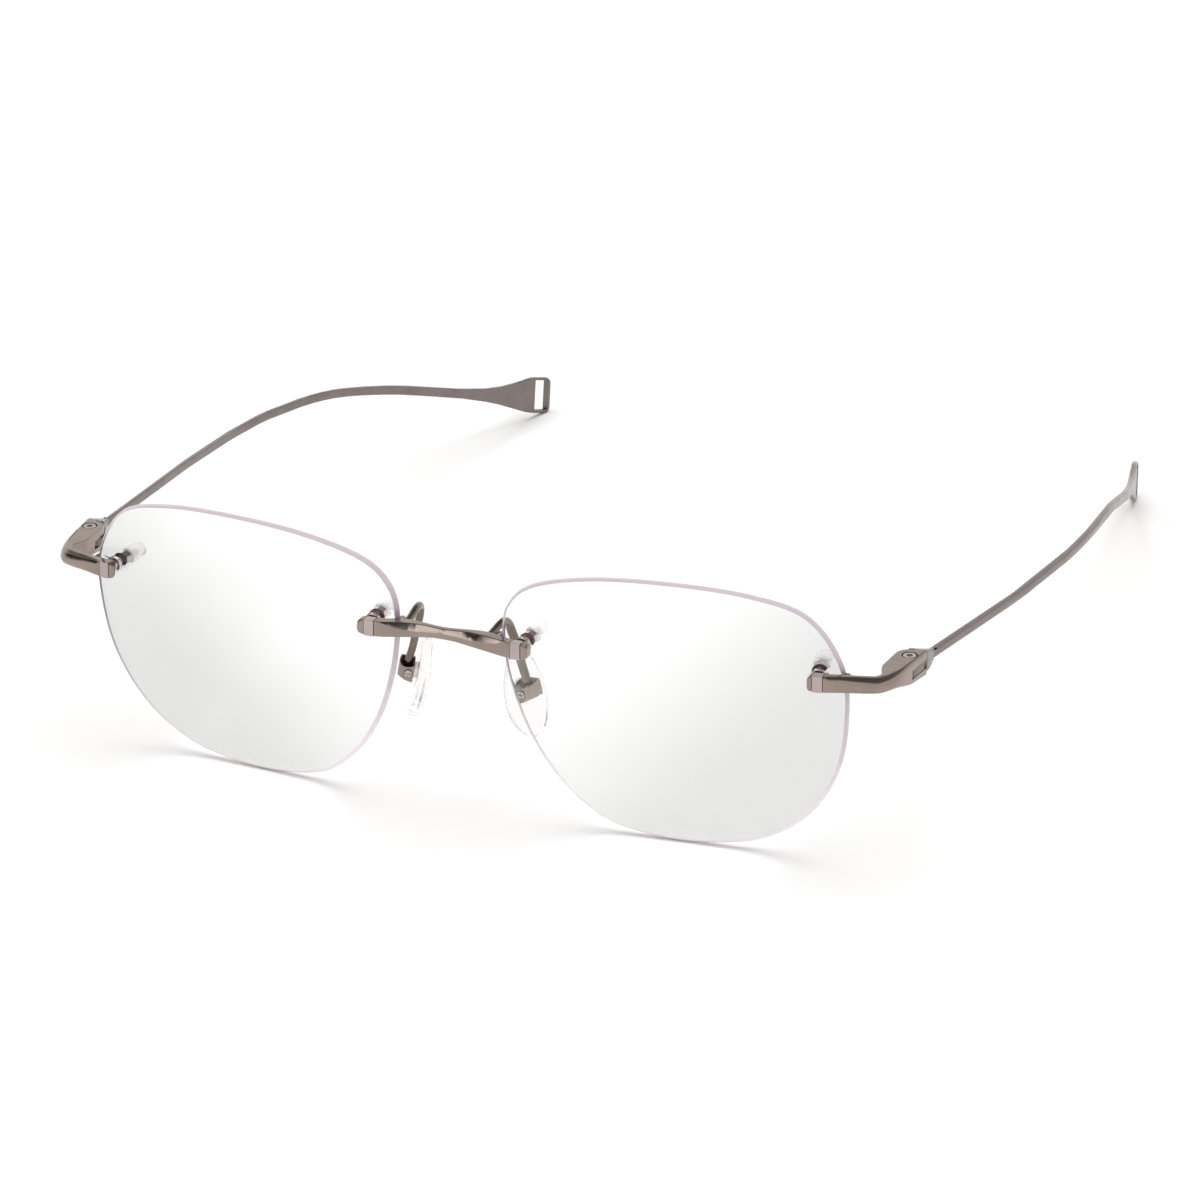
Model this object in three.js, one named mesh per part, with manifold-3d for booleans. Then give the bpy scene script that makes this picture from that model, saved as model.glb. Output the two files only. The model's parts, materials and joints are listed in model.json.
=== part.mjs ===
// Rimless eyeglasses with a three-piece mount, in millimetres, +Z up.
// +X is the wearer's left, the lenses face -Y and the temples run back to +Y.
// The folded-out glasses stand on their two lenses and the two temple tips, at Z = 0.

import * as THREE from 'three';
import { mergeVertices } from 'three/addons/utils/BufferGeometryUtils.js';
import Module from 'manifold-3d';

const wasm = await Module();
wasm.setup();

const { degToRad, lerp } = THREE.MathUtils;

// ---------------------------------------------------------------- dimensions

const overallDepth = 166.55; // front of the bridge to the temple tips
const runningFit = 0.05; // radial clearance of a pin or screw in its hole
const seatGap = 0.04; // between two pieces that are screwed together
const roundSides = 18; // facets around a small turned piece

// Lens: a meniscus on its own frame, u to the temple, w to the eye, v up.
const lensFrame = {
  position: [34.3, 3.95, 22.174],
  rotation: [degToRad(8.15), 0, degToRad(5.06)], // pantoscopic tilt and wrap
};
const lensCurve = 160; // radius of both surfaces
const lensThickness = 1.35;
const lensRings = 5;
const lensOutline = [
  [25.2, 0], [24.8, 9.1], [20, 16.8], [11.4, 19.7], [0, 20.5], [-11.4, 19.8], [-20.7, 17.4],
  [-24.9, 13.6], [-26, 8.2], [-24.9, 0], [-22.2, -8.2], [-18, -15.1], [-11.8, -20.5], [-3.9, -22.4],
  [3.9, -22.4], [12, -20.7], [18.9, -15.9], [23.4, -8.5],
];

// Lens mounts: where each stud passes through the lens, and the lug beside it.
const bridgeHole = [-22.43, 7.97];
const endpieceHole = [21.4, 8.18];
const bridgeLug = [-26.55, 8.2];
const endpieceLug = [25.4, 7.7];
const lugRadius = 0.55;
const lugReach = 1; // past the lens front

// Stud stack, measured along the stud from the front of the lens.
const studRadius = 0.6;
const flangeRadius = 1.3;
const flangeThickness = 0.6;
const neckRadius = 0.7;
const neckLength = 0.7;
const studEnd = 5.1;
const washerRadius = 1.25;
const washerThickness = 0.65;
const nutAcrossCorners = 2.1;
const nutThickness = 1.15;
const capRadius = 1.3;
const capStart = 3.5;
const capEnd = 6.9;

const barSteps = 3; // sections added between two stations of a bar
const cornerRound = 0.1; // rounding of a bar's corners at the back

// Bridge bar: one row per station outward from the middle.
// Columns: x, bottom, crease, top, depth of the upper bevel, back face, rounding in front.
const bridgeStations = [
  [0, 29.85, 30.6, 31.25, 0.5, 1.4, 0.1],
  [2, 29.78, 30.47, 31.3, 0.62, 1.5, 0.1],
  [4, 29.5, 30.32, 31.28, 0.8, 1.95, 0.1],
  [5.5, 29.25, 30.28, 31.2, 0.85, 2.3, 0.1],
  [7, 29.02, 30.32, 31.13, 0.72, 2.35, 0.1],
  [8.5, 28.82, 30.45, 31.03, 0.48, 2, 0.1],
  [9.8, 28.66, 30.7, 30.96, 0.2, 1.7, 0.1],
  [10.6, 28.62, 30.86, 30.95, 0.06, 1.6, 0.1],
  [12.4, 28.62, 30.72, 30.95, 0.18, 1.6, 0.2],
  [13, 28.72, 30.55, 30.86, 0.3, 1.58, 0.3],
  [13.28, 28.98, 30.36, 30.62, 0.3, 1.5, 0.3],
  [13.36, 29.25, 30.15, 30.35, 0.3, 1.35, 0.3],
];

// Endpiece bar: plan points of its outer face, from the lens mount round to the hinge.
// Columns: x, y, bottom, crease, top, depth of the upper bevel, thickness, rounding in front.
const endpieceStations = [
  [54.5, 3.95, 29.85, 31, 31.25, 0.2, 0.9, 0.2],
  [54.62, 3.68, 29.55, 31.2, 31.5, 0.25, 1.15, 0.25],
  [54.95, 3.5, 29.38, 31.4, 31.7, 0.25, 1.45, 0.25],
  [57, 3.76, 29.36, 31.5, 31.72, 0.15, 1.5, 0.1],
  [57.7, 3.92, 29.36, 31.2, 31.7, 0.35, 1.5, 0.2],
  [60, 4.65, 29.36, 30.95, 31.66, 0.5, 1.55, 0.4],
  [62.6, 5.45, 29.32, 30.6, 31.56, 0.6, 1.6, 0.5],
  [64.65, 6.45, 29.3, 30.45, 31.47, 0.7, 1.75, 0.6],
  [65.85, 8.4, 29.32, 30.45, 31.42, 0.65, 1.9, 0.6],
  [66.4, 11, 28.9, 30.65, 31.4, 0.5, 2.1, 0.4],
  [66.65, 14, 28.12, 31.05, 31.4, 0.4, 2.3, 0.2],
  [66.95, 17.6, 27.82, 31.12, 31.4, 0.3, 2.2, 0.1],
  [67.15, 19.6, 27.68, 31.14, 31.4, 0.28, 1.5, 0.1],
];

// Bright bands that clip round the bars in front of the studs.
const bandWidth = 1.5;
const bandWall = 0.26;
const bandProud = 0.08;
const bandDepth = 1.4;

// Hinge: pivot, and the two leaves of the endpiece with the temple's tongue between them.
const pivot = [65.3, 16.8];
const leafTop = 31.4;
const slotTop = 30.06;
const slotBottom = 28.74;
const leafBottom = 27.68;
const leafInner = 2.1; // from the pivot to the inner face
const leafRear = 2.45; // from the pivot to the rear face, which stops the open temple
const slotFront = 2.5; // from the pivot to the front end of the slot
const hingeScrewRadius = 0.55;
const screwHeadRadius = 0.98;
const screwHeadThickness = 0.42;
const counterboreRadius = 1.16;
const counterboreDepth = 0.5;

// Temple: centre line, from the hinge collar to the tip.
const templeLine = [
  [66.25, 23.4, 29.13], [66.9, 31, 28.5], [68, 43, 27.54], [69.3, 59, 26.42], [69.85, 76, 25.2],
  [69.3, 90, 23.93], [67.3, 106.5, 21.52], [64.3, 124.5, 16.55], [60.3, 140, 11.26], [57.4, 151, 7.6],
  [53.62, 166.325, 2.919],
];
// Columns: distance from the tip's end, below and above the centre line, half thickness.
const templeProfile = [
  [0, -3.2, 3.2, 0.38],
  [0.3, -3.25, 3.2, 0.48],
  [4.6, -3.25, 3.18, 0.48],
  [5.8, -3.2, 3.08, 0.48],
  [6.9, -3.1, 2.88, 0.48],
  [8, -2.94, 2.62, 0.48],
  [11, -2.4, 2.05, 0.48],
  [14.5, -1.8, 1.5, 0.48],
  [19, -1.25, 1.1, 0.48],
  [26, -0.85, 0.85, 0.48],
  [70, -0.68, 0.68, 0.5],
  [155, -0.68, 0.68, 0.45],
];
const templeStations = 44;
const tipCorner = 1.3; // radius of the paddle's end corners
const tongueThickness = 1.24;
const tongueRadius = 2.35;
const collarInner = 1.05; // from the pivot towards the nose
const uprightShare = 0.7; // how far the tip's end and its slot lean from square towards upright
const slotLength = 3.7; // slot in the temple tip
const slotHeight = 5.4;
const slotFromEnd = 1;

// Pad arms: bent wire from the back of the bridge to the pad box.
const armRadius = 0.62;
const armLine = [
  [6.55, 2.48, 30.5], [6.58, 4, 30.7], [6.85, 6.8, 31.15], [7.2, 8.75, 30.55], [7.5, 9.3, 29],
  [8.1, 9.45, 26.8], [8.8, 9.6, 23.9], [9.38, 9.62, 22], [9.66, 9.52, 21.2],
];

// Pad frame: origin on the pad screw at the front of the box; local x points away from the
// nose, local y runs back along the screw.
const padFrame = {
  position: [9.25, 8.55, 19.6],
  rotation: [0, degToRad(-12), degToRad(-25)],
};
const boxRim = -0.85; // nasal rim of the box
const boxOuter = 1.5; // its wall away from the nose
const boxLength = 3.3; // along the screw
const boxWall = 0.45;
const boxBottom = -1.4; // at the nasal rim; it rises to the outer wall
const boxOuterBottom = -0.35;
const boxTop = 1.9;
const scoopRadius = 1.7;
const scoopCentre = [0.3, 0.6, 2.6];
const padScrewRadius = 0.4;
const padScrewHead = 0.6;
const tabRadius = 0.8;
const padBack = -1.5; // face of the pad towards the box, with room to rock
const padThickness = 2;
const padHeight = 13.3;
const padWidth = 7.4;
const padCentre = [2.1, -0.95]; // local y and z of the pad's middle
const padBow = 100; // twice the radius its face is bowed to
const footRadius = 1.3; // of the mount that is moulded into the pad
const footThickness = 0.4;

// ---------------------------------------------------------------- finishes

const finishes = {
  lens: { color: 0xe9ecec, roughness: 0.05, metalness: 0, opacity: 0.45, transparent: true },
  pewter: { color: 0x8f877b, roughness: 0.32, metalness: 1 },
  temple: { color: 0x857c77, roughness: 0.38, metalness: 1 },
  band: { color: 0xb8aaa8, roughness: 0.2, metalness: 1 },
  chrome: { color: 0xd8d2d0, roughness: 0.08, metalness: 1 },
  clear: { color: 0xf2f0ee, roughness: 0.12, metalness: 0, opacity: 0.5, transparent: true },
};

// ---------------------------------------------------------------- solid helpers

function bare(geometry) {
  const copy = geometry.clone();
  for (const name of Object.keys(copy.attributes)) {
    if (name !== 'position') copy.deleteAttribute(name);
  }
  return mergeVertices(copy, 1e-4);
}

function toManifold(geometry) {
  const merged = bare(geometry);
  return new wasm.Manifold(new wasm.Mesh({
    numProp: 3,
    vertProperties: new Float32Array(merged.attributes.position.array),
    triVerts: new Uint32Array(merged.index.array),
  }));
}

function fromManifold(solid) {
  const mesh = solid.getMesh();
  const geometry = new THREE.BufferGeometry();
  geometry.setAttribute('position', new THREE.BufferAttribute(mesh.vertProperties, 3));
  geometry.setIndex(new THREE.BufferAttribute(mesh.triVerts, 1));
  return geometry;
}

function cut(geometry, ...tools) {
  const solid = tools.reduce((body, tool) => body.subtract(toManifold(tool)), toManifold(geometry));
  return fromManifold(solid);
}

function join(...pieces) {
  const [first, ...rest] = pieces.map(toManifold);
  return fromManifold(rest.reduce((body, piece) => body.add(piece), first));
}

function common(first, second) {
  return fromManifold(toManifold(first).intersect(toManifold(second)));
}

function meshOf(points, triangles) {
  const geometry = new THREE.BufferGeometry();
  geometry.setAttribute('position', new THREE.Float32BufferAttribute(points.flat(), 3));
  geometry.setIndex(triangles.flat());
  return geometry;
}

function mirrorX(geometry) {
  const copy = bare(geometry).applyMatrix4(new THREE.Matrix4().makeScale(-1, 1, 1));
  const index = copy.index;
  for (let corner = 0; corner < index.count; corner += 3) {
    const first = index.getX(corner);
    index.setX(corner, index.getX(corner + 1));
    index.setX(corner + 1, first);
  }
  return copy;
}

// Skin over equal rings of points; the first and last ring are closed flat.
function loft(rings) {
  const sides = rings[0].length;
  const triangles = [];
  for (let ring = 0; ring < rings.length - 1; ring += 1) {
    for (let side = 0; side < sides; side += 1) {
      const a = ring * sides + side;
      const b = ring * sides + ((side + 1) % sides);
      triangles.push([a, b, b + sides], [a, b + sides, a + sides]);
    }
  }
  const last = (rings.length - 1) * sides;
  for (let side = 1; side < sides - 1; side += 1) {
    triangles.push([0, side + 1, side], [last, last + side, last + side + 1]);
  }
  return meshOf(rings.flat(), triangles);
}

// Box between two corners.
function block([x0, y0, z0], [x1, y1, z1]) {
  return new THREE.BoxGeometry(x1 - x0, y1 - y0, z1 - z0)
    .translate((x0 + x1) / 2, (y0 + y1) / 2, (z0 + z1) / 2);
}

// Cylinder along Y from one station to another.
function rod(radius, start, end, sides = roundSides) {
  return new THREE.CylinderGeometry(radius, radius, end - start, sides)
    .translate(0, (start + end) / 2, 0);
}

// Upright cylinder on the hinge pivot.
function pillar(radius, bottom, top, sides = roundSides) {
  return rod(radius, bottom, top, sides).rotateX(Math.PI / 2).translate(pivot[0], pivot[1], 0);
}

// Turned piece along Y; the profile is radius and station pairs.
function turned(profile, sides = roundSides) {
  return new THREE.LatheGeometry(profile.map(([r, s]) => new THREE.Vector2(r, s)), sides);
}

// Plan outline extruded upward.
function plate(outline, bottom, top) {
  const shape = new THREE.Shape(outline.map(([x, y]) => new THREE.Vector2(x, y)));
  return new THREE.ExtrudeGeometry(shape, { depth: top - bottom, bevelEnabled: false })
    .translate(0, 0, bottom);
}

function arc([cx, cy], radius, from, to, steps) {
  return Array.from({ length: steps + 1 }, (_, step) => {
    const angle = lerp(from, to, step / steps);
    return [cx + radius * Math.cos(angle), cy + radius * Math.sin(angle)];
  });
}

// Lays a plan outline on its side: its x runs back, its y up and its depth towards +X.
const sideways = new THREE.Matrix4().makeBasis(
  new THREE.Vector3(0, 1, 0), new THREE.Vector3(0, 0, 1), new THREE.Vector3(1, 0, 0),
);

function matrixOf({ position, rotation }) {
  return new THREE.Matrix4()
    .makeRotationFromEuler(new THREE.Euler(...rotation))
    .setPosition(...position);
}

// ---------------------------------------------------------------- lens and its mounts

function lensSag(u, v) {
  return (u * u + v * v) / (2 * lensCurve);
}

// Frame of a stud in the lens frame: its local Y is square to the lens at the hole.
function studFrame([u, v]) {
  return {
    position: [u, lensSag(u, v), v],
    rotation: [-Math.atan(v / lensCurve), 0, Math.atan(u / lensCurve)],
  };
}

function lensBody() {
  const curve = new THREE.CatmullRomCurve3(
    lensOutline.map(([u, v]) => new THREE.Vector3(u, 0, v)), true, 'catmullrom', 0.5,
  );
  const rim = curve.getPoints(lensOutline.length * 5).slice(0, -1);
  const sides = rim.length;
  const points = [];
  const triangles = [];
  for (const offset of [0, lensThickness]) {
    points.push([0, offset, 0]);
    for (let ring = 1; ring <= lensRings; ring += 1) {
      for (const { x, z } of rim) {
        const u = (x * ring) / lensRings;
        const v = (z * ring) / lensRings;
        points.push([u, lensSag(u, v) + offset, v]);
      }
    }
  }
  const half = 1 + lensRings * sides;
  const at = (surface, ring, side) => surface * half + 1 + (ring - 1) * sides + (side % sides);
  for (let side = 0; side < sides; side += 1) {
    triangles.push([0, at(0, 1, side), at(0, 1, side + 1)]);
    triangles.push([half, at(1, 1, side + 1), at(1, 1, side)]);
    for (let ring = 1; ring < lensRings; ring += 1) {
      triangles.push([at(0, ring, side), at(0, ring + 1, side), at(0, ring + 1, side + 1)]);
      triangles.push([at(0, ring, side), at(0, ring + 1, side + 1), at(0, ring, side + 1)]);
      triangles.push([at(1, ring, side), at(1, ring + 1, side + 1), at(1, ring + 1, side)]);
      triangles.push([at(1, ring, side), at(1, ring, side + 1), at(1, ring + 1, side + 1)]);
    }
    triangles.push([at(0, lensRings, side), at(1, lensRings, side), at(1, lensRings, side + 1)]);
    triangles.push([at(0, lensRings, side), at(1, lensRings, side + 1), at(0, lensRings, side + 1)]);
  }
  return meshOf(points, triangles);
}

function drilledLens() {
  const tools = [];
  for (const hole of [bridgeHole, endpieceHole]) {
    tools.push(rod(studRadius + runningFit, -1, lensThickness + 1).applyMatrix4(matrixOf(studFrame(hole))));
  }
  for (const lug of [bridgeLug, endpieceLug]) {
    const notch = rod(lugRadius + runningFit, -1, lensThickness + 1);
    tools.push(notch.applyMatrix4(matrixOf(studFrame(lug))));
  }
  return cut(lensBody(), ...tools);
}

function stud() {
  const front = -seatGap - flangeThickness;
  return turned([
    [0, front - neckLength], [neckRadius, front - neckLength], [neckRadius, front],
    [flangeRadius - 0.12, front], [flangeRadius, front + 0.12], [flangeRadius - 0.22, front + 0.3],
    [flangeRadius, front + 0.5], [flangeRadius - 0.12, -seatGap], [studRadius, -seatGap],
    [studRadius, studEnd - 0.15], [studRadius - 0.15, studEnd], [0, studEnd],
  ]);
}

function rearWasher() {
  const start = lensThickness + seatGap;
  const end = start + washerThickness;
  const bore = studRadius + runningFit;
  return turned([
    [bore, start], [washerRadius - 0.1, start], [washerRadius, start + 0.1],
    [washerRadius, end - 0.18], [washerRadius - 0.3, end], [bore, end], [bore, start],
  ]);
}

function hexNut() {
  const start = lensThickness + seatGap * 2 + washerThickness;
  const body = rod(nutAcrossCorners / 2, start, start + nutThickness, 6);
  return cut(body, rod(studRadius + runningFit, start - 1, start + nutThickness + 1));
}

function studCap() {
  const bore = studRadius + runningFit;
  const domeStart = capEnd - capRadius;
  const dome = arc([0, domeStart], capRadius, 0, Math.PI / 2, 6);
  dome[dome.length - 1][0] = 0;
  return turned([
    [0, studEnd + runningFit * 2], [bore, studEnd + runningFit * 2], [bore, capStart],
    [capRadius - 0.15, capStart], [capRadius, capStart + 0.15], ...dome,
  ]);
}

// Socket for the stud's neck and post for the lug, both in the front's own frame.
function inLensFrame(geometry, place) {
  return geometry.applyMatrix4(matrixOf(studFrame(place))).applyMatrix4(matrixOf(lensFrame));
}

function studSocket(hole) {
  const front = -seatGap - flangeThickness - neckLength - seatGap;
  return inLensFrame(rod(neckRadius + runningFit, front, 0), hole);
}

function lugPost(lug, start) {
  return inLensFrame(rod(lugRadius, start, lugReach, 12), lug);
}

// ---------------------------------------------------------------- bars of the front

// Three points that round a corner off, by at most under half of either side.
function roundedCorner(before, corner, after, radius) {
  const point = new THREE.Vector2(...corner);
  const [start, end] = [before, after].map((other) => {
    const side = new THREE.Vector2(...other).sub(point);
    return point.clone().add(side.setLength(Math.min(radius, side.length() * 0.45)));
  });
  const middle = start.clone().add(end).multiplyScalar(0.25).addScaledVector(point, 0.5);
  return [start.toArray(), middle.toArray(), end.toArray()];
}

// Section with a flat front face up to the crease, then a bevel up to the top.
// Depth runs from the front face, at zero, to the back.
function barSection({ bottom, crease, top, bevel, back, front }) {
  const corners = [
    [back, bottom, cornerRound], [back, top, cornerRound], [bevel, top, front], [0, crease, front],
    [0, bottom, front],
  ];
  const count = corners.length;
  return corners.flatMap(([depth, z, radius], index) => roundedCorner(
    corners[(index + count - 1) % count].slice(0, 2),
    [depth, z],
    corners[(index + 1) % count].slice(0, 2),
    radius,
  ));
}

// The rows of a bar with more between them, every column on a smooth curve.
function smoothRows(rows) {
  const starts = rows[0].map((_, column) => column).filter((column) => column % 3 === 0);
  const curves = starts.map((start) => new THREE.CatmullRomCurve3(
    rows.map((row) => new THREE.Vector3(row[start], row[start + 1] ?? 0, row[start + 2] ?? 0)),
  ));
  const count = (rows.length - 1) * barSteps;
  return Array.from({ length: count + 1 }, (_, index) => (
    curves.flatMap((curve) => curve.getPoint(index / count).toArray())
  ));
}

function rowAt(rows, value) {
  const upper = rows.findIndex((row) => row[0] >= value);
  if (upper <= 0) return upper === 0 ? rows[0] : rows[rows.length - 1];
  const [low, high] = [rows[upper - 1], rows[upper]];
  const part = (value - low[0]) / (high[0] - low[0]);
  return low.map((entry, column) => lerp(entry, high[column], part));
}

function bridgeBar() {
  const opposite = bridgeStations.slice(1).map(([x, ...rest]) => [-x, ...rest]).reverse();
  const rows = smoothRows([...opposite, ...bridgeStations]);
  return loft(rows.map(([x, bottom, crease, top, bevel, back, front]) => (
    barSection({ bottom, crease, top, bevel, back, front }).map(([y, z]) => [x, y, z])
  )));
}

// Band, and the groove it sits in, as a bar section swept along local x.
// The local frame has y into the bar; bottom and top are the bar's own faces.
function bandParts(bottom, top) {
  const half = bandWidth / 2;
  const low = bottom - bandProud;
  const high = top + bandProud;
  const outline = [
    [-bandProud, low], [bandDepth, low], [bandDepth, low + bandWall],
    [bandWall - bandProud, low + bandWall], [bandWall - bandProud, high - bandWall],
    [bandDepth, high - bandWall], [bandDepth, high], [-bandProud, high],
  ];
  const band = plate(outline, -half, half).applyMatrix4(sideways);
  const room = half + seatGap;
  const inset = bandWall + seatGap;
  const groove = cut(
    block([-room, -1, low - 1], [room, bandDepth + seatGap, high + 1]),
    block([-room - 1, inset - bandProud, low + inset], [room + 1, bandDepth + 1, high - inset]),
  );
  return { band, groove };
}

const bridgeBandFrame = { position: [11.5, 0, 0], rotation: [0, 0, 0] };
const bridgeBandParts = bandParts(28.62, 30.95);
const endpieceBandFrame = { position: [56.15, 3.655, 0], rotation: [0, 0, Math.atan2(0.35, 2.45)] };
const endpieceBandParts = bandParts(29.37, 31.7);

function bothSides(geometry) {
  return [geometry, mirrorX(geometry)];
}

function bridge() {
  const lugs = bothSides(lugPost(bridgeLug, -1.4));
  const grooves = bothSides(bridgeBandParts.groove.applyMatrix4(matrixOf(bridgeBandFrame)));
  return cut(join(bridgeBar(), ...lugs), ...grooves, ...bothSides(studSocket(bridgeHole)));
}

function endpieceBar() {
  const rows = smoothRows(endpieceStations);
  const outer = rows.map(([x, y]) => new THREE.Vector2(x, y));
  const rings = rows.map(([x, y, bottom, crease, top, bevel, back, front], index) => {
    const before = outer[Math.max(index - 1, 0)];
    const after = outer[Math.min(index + 1, outer.length - 1)];
    const along = after.clone().sub(before).normalize();
    return barSection({ bottom, crease, top, bevel, back, front })
      .map(([depth, z]) => [x - along.y * depth, y + along.x * depth, z]);
  });
  return loft(rings);
}

// Plan outline of a hinge leaf. Its inner rear corner is round about the pivot, so that the
// collar of the temple can swing past it.
function leafOutline(innerFront) {
  const [px, py] = pivot;
  return [
    [65.7, 11], [66.1, 14], [66.35, 17], [66.5, py + leafRear],
    ...arc(pivot, leafInner, Math.PI / 2, Math.PI, 8),
    ...innerFront,
  ];
}

function endpiece() {
  const [px, py] = pivot;
  const plateInner = [[63.1, 14.4], [62.95, 12], [63.2, 10.8], [64.2, 8.6]];
  const top = plate(leafOutline(plateInner), slotTop - 0.6, leafTop);
  const lower = plate(leafOutline([[px - leafInner, 13.6], [64.6, 11.4]]), leafBottom, slotTop);
  const slot = block([px - 6, py - slotFront, slotBottom], [px + 6, py + 6, slotTop]);
  const underside = plate([
    [8, 27], [22, 27], [22, 27.5], [19.6, leafBottom], [14, 28.12], [11, 28.9], [8, 29.3],
  ], px - 6, px + 6).applyMatrix4(sideways);
  const behind = block([px - 6, py + leafRear, leafBottom - 1], [px + 6, py + 6, leafTop + 1]);
  return cut(
    join(endpieceBar(), top, lower, lugPost(endpieceLug, -1.7)),
    slot,
    underside,
    behind,
    pillar(hingeScrewRadius + runningFit, leafBottom - 1, leafTop + 1),
    pillar(counterboreRadius, leafTop - counterboreDepth, leafTop + 1, 28),
    endpieceBandParts.groove.applyMatrix4(matrixOf(endpieceBandFrame)),
    studSocket(endpieceHole),
  );
}

function hingeScrew() {
  const head = leafTop - counterboreDepth + seatGap;
  const body = join(
    pillar(hingeScrewRadius, leafBottom + 0.1, head + 0.1),
    pillar(screwHeadRadius, head, head + screwHeadThickness, 28),
  );
  return cut(body, pillar(0.48, head + 0.14, head + 2, 6));
}

// ---------------------------------------------------------------- temple

const templeCurve = new THREE.CatmullRomCurve3(
  templeLine.map((point) => new THREE.Vector3(...point)), false, 'catmullrom', 0.5,
);
const templeLength = templeCurve.getLength();

// Point, outward direction and upward direction at a distance from the tip's end.
function templeFrame(fromEnd) {
  const along = 1 - fromEnd / templeLength;
  const origin = templeCurve.getPointAt(along);
  const tangent = templeCurve.getTangentAt(along);
  const outward = tangent.clone().cross(new THREE.Vector3(0, 0, 1)).normalize();
  const square = outward.clone().cross(tangent);
  const upward = square.lerp(new THREE.Vector3(0, 0, 1), uprightShare).normalize();
  return { origin, tangent, outward, upward };
}

function templeBar() {
  const distances = templeProfile.map(([distance]) => distance).filter((d) => d < templeLength);
  for (let step = 1; step <= 5; step += 1) {
    distances.push(tipCorner * (1 - Math.cos((Math.PI / 2) * (step / 5))));
  }
  for (let station = 1; station <= templeStations; station += 1) {
    distances.push((templeLength * station) / templeStations);
  }
  distances.sort((a, b) => b - a);
  return loft(distances.map((distance) => {
    const [, low, high, half] = rowAt(templeProfile, distance);
    const short = Math.max(tipCorner - distance, 0);
    const drop = tipCorner - Math.sqrt(tipCorner ** 2 - short ** 2);
    const below = low + drop;
    const above = high - drop;
    const { origin, outward, upward } = templeFrame(Math.min(distance, templeLength));
    const edge = 0.16;
    const bevel = 0.3;
    const section = [
      [-half + edge, below], [-half, below + edge], [-half, above - edge], [-half + edge, above],
      [half - bevel, above], [half, above - bevel], [half, below + edge], [half - edge, below],
    ];
    return section.map(([out, up]) => origin.clone()
      .addScaledVector(outward, out).addScaledVector(upward, up).toArray());
  }));
}

// Flared collar that meets the ends of the leaves.
function collar() {
  const [px, py] = pivot;
  const start = py + leafRear + seatGap;
  const ring = (y, inner, outer, bottom, top) => [
    [inner, y, bottom + 0.2], [inner, y, top - 0.1], [outer - 0.25, y, top],
    [outer, y, top - 0.25], [outer, y, bottom + 0.2], [outer - 0.2, y, bottom],
  ];
  return loft([
    ring(start, px - collarInner, 67.12, 28.1, 31.34),
    ring(start + 0.7, px - collarInner + 0.1, 67.1, 27.9, 31.2),
    ring(start + 2, 65, 67, 27.95, 30.7),
    ring(start + 4.3, 65.75, 66.72, 28.4, 29.9),
    ring(start + 5, 65.82, 66.74, 28.45, 29.8),
  ]);
}

function templeTongue() {
  const [px, py] = pivot;
  const bottom = slotBottom + (slotTop - slotBottom - tongueThickness) / 2;
  const top = bottom + tongueThickness;
  const flush = [[px - 3, py - 3], [66.55, py - 3], [67.06, py + leafRear], [px - 3, py + leafRear]];
  const barrel = common(pillar(tongueRadius, bottom, top, 28), plate(flush, bottom - 1, top + 1));
  const web = plate([
    [px - collarInner, py], [66.8, py], [67.02, py + leafRear + 0.5],
    [px - collarInner, py + leafRear + 0.5],
  ], bottom, top);
  return join(barrel, web);
}

function temple() {
  const { origin, tangent, outward, upward } = templeFrame(slotFromEnd + slotLength / 2);
  const window = block([-2, -slotLength / 2, -slotHeight / 2], [2, slotLength / 2, slotHeight / 2])
    .applyMatrix4(new THREE.Matrix4().makeBasis(outward, tangent, upward).setPosition(origin));
  return cut(
    join(templeBar(), collar(), templeTongue()),
    window,
    pillar(hingeScrewRadius + runningFit, leafBottom, leafTop),
  );
}

// ---------------------------------------------------------------- nose pads

function padArm() {
  const path = new THREE.CatmullRomCurve3(armLine.map((point) => new THREE.Vector3(...point)));
  const section = new THREE.Shape().absarc(0, 0, armRadius, 0, Math.PI * 2);
  return new THREE.ExtrudeGeometry(section, { steps: 30, curveSegments: 5, extrudePath: path });
}

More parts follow.
